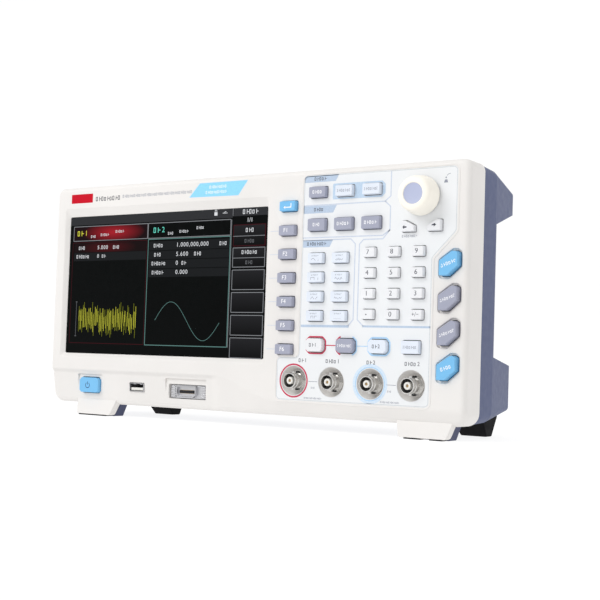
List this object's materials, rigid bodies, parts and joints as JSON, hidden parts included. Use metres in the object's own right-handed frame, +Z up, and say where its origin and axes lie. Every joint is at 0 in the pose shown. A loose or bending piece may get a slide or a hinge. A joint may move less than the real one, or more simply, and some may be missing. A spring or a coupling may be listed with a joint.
{
  "type": "function generator",
  "caption": "Bench function generator with a wide screen, a keypad, one push-and-turn knob, coaxial output sockets and a dark rear housing with corner ears.",
  "frame": {"origin": "on the surface it stands on, under the middle of the whole object", "axes": "+X to the viewer's right along the width, +Y from the front panel to the back, +Z up"},
  "size_m": [0.336, 0.108, 0.165],
  "materials": {
    "bezel_white": "fine textured moulding",
    "overlay_grey": "matt printed film",
    "screen": "glossy display face",
    "board_green": "solder mask",
    "shaft_steel": "turned",
    "knob_cream": "soft matt",
    "housing_slate": "fine textured moulding",
    "nickel": "bright nickel plate",
    "socket_steel": "plated sheet",
    "inlet_black": "satin",
    "foot_slate": "matt",
    "foot_black": "matt",
    "screw_steel": "zinc plate",
    "key_grey": "satin",
    "key_blue": "satin",
    "key_white": "satin",
    "key_ice": "satin"
  },
  "bodies": {
    "case": {"front_bezel": "bezel_white", "panel_overlay": "overlay_grey", "lcd_module": "screen", "keypad_board": "board_green", "main_board": "board_green", "power_supply": "board_green", "rear_housing": "housing_slate", "bnc_sockets": "nickel", "usb_socket": "socket_steel", "digital_port": "socket_steel", "mains_inlet": "inlet_black", "front_feet": "foot_slate", "rear_feet": "foot_black", "case_screws": "screw_steel"},
    "encoder_shaft": {"encoder_shaft": "shaft_steel"},
    "knob": {"knob": "knob_cream"},
    "soft_key_1": {"soft_key_1": "key_grey"},
    "soft_key_2": {"soft_key_2": "key_grey"},
    "soft_key_3": {"soft_key_3": "key_grey"},
    "soft_key_4": {"soft_key_4": "key_grey"},
    "soft_key_5": {"soft_key_5": "key_grey"},
    "soft_key_6": {"soft_key_6": "key_grey"},
    "user_key": {"user_key": "key_grey"},
    "modulation_key": {"modulation_key": "key_grey"},
    "sweep_key": {"sweep_key": "key_grey"},
    "burst_key": {"burst_key": "key_grey"},
    "dual_channel_key": {"dual_channel_key": "key_grey"},
    "utility_key": {"utility_key": "key_grey"},
    "storage_key": {"storage_key": "key_grey"},
    "return_key": {"return_key": "key_blue"},
    "help_key": {"help_key": "key_blue"},
    "preset_key": {"preset_key": "key_blue"},
    "power_key": {"power_key": "key_blue"},
    "digital_key": {"digital_key": "key_ice"},
    "counter_key": {"counter_key": "key_ice"},
    "sine_key": {"sine_key": "key_ice"},
    "noise_key": {"noise_key": "key_ice"},
    "square_key": {"square_key": "key_ice"},
    "arbitrary_key": {"arbitrary_key": "key_ice"},
    "ramp_key": {"ramp_key": "key_ice"},
    "harmonic_key": {"harmonic_key": "key_ice"},
    "pulse_key": {"pulse_key": "key_ice"},
    "dc_key": {"dc_key": "key_ice"},
    "channel_2_key": {"channel_2_key": "key_ice"},
    "trigger_key": {"trigger_key": "key_ice"},
    "digit_0_key": {"digit_0_key": "key_white"},
    "digit_1_key": {"digit_1_key": "key_white"},
    "digit_2_key": {"digit_2_key": "key_white"},
    "digit_3_key": {"digit_3_key": "key_white"},
    "digit_4_key": {"digit_4_key": "key_white"},
    "digit_5_key": {"digit_5_key": "key_white"},
    "digit_6_key": {"digit_6_key": "key_white"},
    "digit_7_key": {"digit_7_key": "key_white"},
    "digit_8_key": {"digit_8_key": "key_white"},
    "digit_9_key": {"digit_9_key": "key_white"},
    "point_key": {"point_key": "key_white"},
    "sign_key": {"sign_key": "key_white"},
    "left_arrow_key": {"left_arrow_key": "key_white"},
    "right_arrow_key": {"right_arrow_key": "key_white"},
    "channel_1_key": {"channel_1_key": "key_white"}
  },
  "joints": [
    {"name": "encoder_push", "type": "slide", "parent": "case", "child": "encoder_shaft", "axis": [0, 1, 0], "range_m": [0, 0.0005], "stiffness_N_per_m": 300},
    {"name": "knob_turn", "type": "hinge", "parent": "encoder_shaft", "child": "knob", "pos_m": [0.137, -0.05, 0.144], "axis": [0, -1, 0], "continuous": true},
    {"name": "soft_key_1_press", "type": "slide", "parent": "case", "child": "soft_key_1", "axis": [0, 1, 0], "range_m": [0, 0.001], "stiffness_N_per_m": 200},
    {"name": "soft_key_2_press", "type": "slide", "parent": "case", "child": "soft_key_2", "axis": [0, 1, 0], "range_m": [0, 0.001], "stiffness_N_per_m": 200},
    {"name": "soft_key_3_press", "type": "slide", "parent": "case", "child": "soft_key_3", "axis": [0, 1, 0], "range_m": [0, 0.001], "stiffness_N_per_m": 200},
    {"name": "soft_key_4_press", "type": "slide", "parent": "case", "child": "soft_key_4", "axis": [0, 1, 0], "range_m": [0, 0.001], "stiffness_N_per_m": 200},
    {"name": "soft_key_5_press", "type": "slide", "parent": "case", "child": "soft_key_5", "axis": [0, 1, 0], "range_m": [0, 0.001], "stiffness_N_per_m": 200},
    {"name": "soft_key_6_press", "type": "slide", "parent": "case", "child": "soft_key_6", "axis": [0, 1, 0], "range_m": [0, 0.001], "stiffness_N_per_m": 200},
    {"name": "user_press", "type": "slide", "parent": "case", "child": "user_key", "axis": [0, 1, 0], "range_m": [0, 0.001], "stiffness_N_per_m": 200},
    {"name": "modulation_press", "type": "slide", "parent": "case", "child": "modulation_key", "axis": [0, 1, 0], "range_m": [0, 0.001], "stiffness_N_per_m": 200},
    {"name": "sweep_press", "type": "slide", "parent": "case", "child": "sweep_key", "axis": [0, 1, 0], "range_m": [0, 0.001], "stiffness_N_per_m": 200},
    {"name": "burst_press", "type": "slide", "parent": "case", "child": "burst_key", "axis": [0, 1, 0], "range_m": [0, 0.001], "stiffness_N_per_m": 200},
    {"name": "dual_channel_press", "type": "slide", "parent": "case", "child": "dual_channel_key", "axis": [0, 1, 0], "range_m": [0, 0.001], "stiffness_N_per_m": 200},
    {"name": "utility_press", "type": "slide", "parent": "case", "child": "utility_key", "axis": [0, 1, 0], "range_m": [0, 0.001], "stiffness_N_per_m": 200},
    {"name": "storage_press", "type": "slide", "parent": "case", "child": "storage_key", "axis": [0, 1, 0], "range_m": [0, 0.001], "stiffness_N_per_m": 200},
    {"name": "return_press", "type": "slide", "parent": "case", "child": "return_key", "axis": [0, 1, 0], "range_m": [0, 0.001], "stiffness_N_per_m": 200},
    {"name": "help_press", "type": "slide", "parent": "case", "child": "help_key", "axis": [0, 1, 0], "range_m": [0, 0.001], "stiffness_N_per_m": 200},
    {"name": "preset_press", "type": "slide", "parent": "case", "child": "preset_key", "axis": [0, 1, 0], "range_m": [0, 0.001], "stiffness_N_per_m": 200},
    {"name": "power_press", "type": "slide", "parent": "case", "child": "power_key", "axis": [0, 1, 0], "range_m": [0, 0.001], "stiffness_N_per_m": 200},
    {"name": "digital_press", "type": "slide", "parent": "case", "child": "digital_key", "axis": [0, 1, 0], "range_m": [0, 0.001], "stiffness_N_per_m": 200},
    {"name": "counter_press", "type": "slide", "parent": "case", "child": "counter_key", "axis": [0, 1, 0], "range_m": [0, 0.001], "stiffness_N_per_m": 200},
    {"name": "sine_press", "type": "slide", "parent": "case", "child": "sine_key", "axis": [0, 1, 0], "range_m": [0, 0.001], "stiffness_N_per_m": 200},
    {"name": "noise_press", "type": "slide", "parent": "case", "child": "noise_key", "axis": [0, 1, 0], "range_m": [0, 0.001], "stiffness_N_per_m": 200},
    {"name": "square_press", "type": "slide", "parent": "case", "child": "square_key", "axis": [0, 1, 0], "range_m": [0, 0.001], "stiffness_N_per_m": 200},
    {"name": "arbitrary_press", "type": "slide", "parent": "case", "child": "arbitrary_key", "axis": [0, 1, 0], "range_m": [0, 0.001], "stiffness_N_per_m": 200},
    {"name": "ramp_press", "type": "slide", "parent": "case", "child": "ramp_key", "axis": [0, 1, 0], "range_m": [0, 0.001], "stiffness_N_per_m": 200},
    {"name": "harmonic_press", "type": "slide", "parent": "case", "child": "harmonic_key", "axis": [0, 1, 0], "range_m": [0, 0.001], "stiffness_N_per_m": 200},
    {"name": "pulse_press", "type": "slide", "parent": "case", "child": "pulse_key", "axis": [0, 1, 0], "range_m": [0, 0.001], "stiffness_N_per_m": 200},
    {"name": "dc_press", "type": "slide", "parent": "case", "child": "dc_key", "axis": [0, 1, 0], "range_m": [0, 0.001], "stiffness_N_per_m": 200},
    {"name": "channel_2_press", "type": "slide", "parent": "case", "child": "channel_2_key", "axis": [0, 1, 0], "range_m": [0, 0.001], "stiffness_N_per_m": 200},
    {"name": "trigger_press", "type": "slide", "parent": "case", "child": "trigger_key", "axis": [0, 1, 0], "range_m": [0, 0.001], "stiffness_N_per_m": 200},
    {"name": "digit_0_press", "type": "slide", "parent": "case", "child": "digit_0_key", "axis": [0, 1, 0], "range_m": [0, 0.001], "stiffness_N_per_m": 200},
    {"name": "digit_1_press", "type": "slide", "parent": "case", "child": "digit_1_key", "axis": [0, 1, 0], "range_m": [0, 0.001], "stiffness_N_per_m": 200},
    {"name": "digit_2_press", "type": "slide", "parent": "case", "child": "digit_2_key", "axis": [0, 1, 0], "range_m": [0, 0.001], "stiffness_N_per_m": 200},
    {"name": "digit_3_press", "type": "slide", "parent": "case", "child": "digit_3_key", "axis": [0, 1, 0], "range_m": [0, 0.001], "stiffness_N_per_m": 200},
    {"name": "digit_4_press", "type": "slide", "parent": "case", "child": "digit_4_key", "axis": [0, 1, 0], "range_m": [0, 0.001], "stiffness_N_per_m": 200},
    {"name": "digit_5_press", "type": "slide", "parent": "case", "child": "digit_5_key", "axis": [0, 1, 0], "range_m": [0, 0.001], "stiffness_N_per_m": 200},
    {"name": "digit_6_press", "type": "slide", "parent": "case", "child": "digit_6_key", "axis": [0, 1, 0], "range_m": [0, 0.001], "stiffness_N_per_m": 200},
    {"name": "digit_7_press", "type": "slide", "parent": "case", "child": "digit_7_key", "axis": [0, 1, 0], "range_m": [0, 0.001], "stiffness_N_per_m": 200},
    {"name": "digit_8_press", "type": "slide", "parent": "case", "child": "digit_8_key", "axis": [0, 1, 0], "range_m": [0, 0.001], "stiffness_N_per_m": 200},
    {"name": "digit_9_press", "type": "slide", "parent": "case", "child": "digit_9_key", "axis": [0, 1, 0], "range_m": [0, 0.001], "stiffness_N_per_m": 200},
    {"name": "point_press", "type": "slide", "parent": "case", "child": "point_key", "axis": [0, 1, 0], "range_m": [0, 0.001], "stiffness_N_per_m": 200},
    {"name": "sign_press", "type": "slide", "parent": "case", "child": "sign_key", "axis": [0, 1, 0], "range_m": [0, 0.001], "stiffness_N_per_m": 200},
    {"name": "left_arrow_press", "type": "slide", "parent": "case", "child": "left_arrow_key", "axis": [0, 1, 0], "range_m": [0, 0.001], "stiffness_N_per_m": 200},
    {"name": "right_arrow_press", "type": "slide", "parent": "case", "child": "right_arrow_key", "axis": [0, 1, 0], "range_m": [0, 0.001], "stiffness_N_per_m": 200},
    {"name": "channel_1_press", "type": "slide", "parent": "case", "child": "channel_1_key", "axis": [0, 1, 0], "range_m": [0, 0.001], "stiffness_N_per_m": 200}
  ]
}
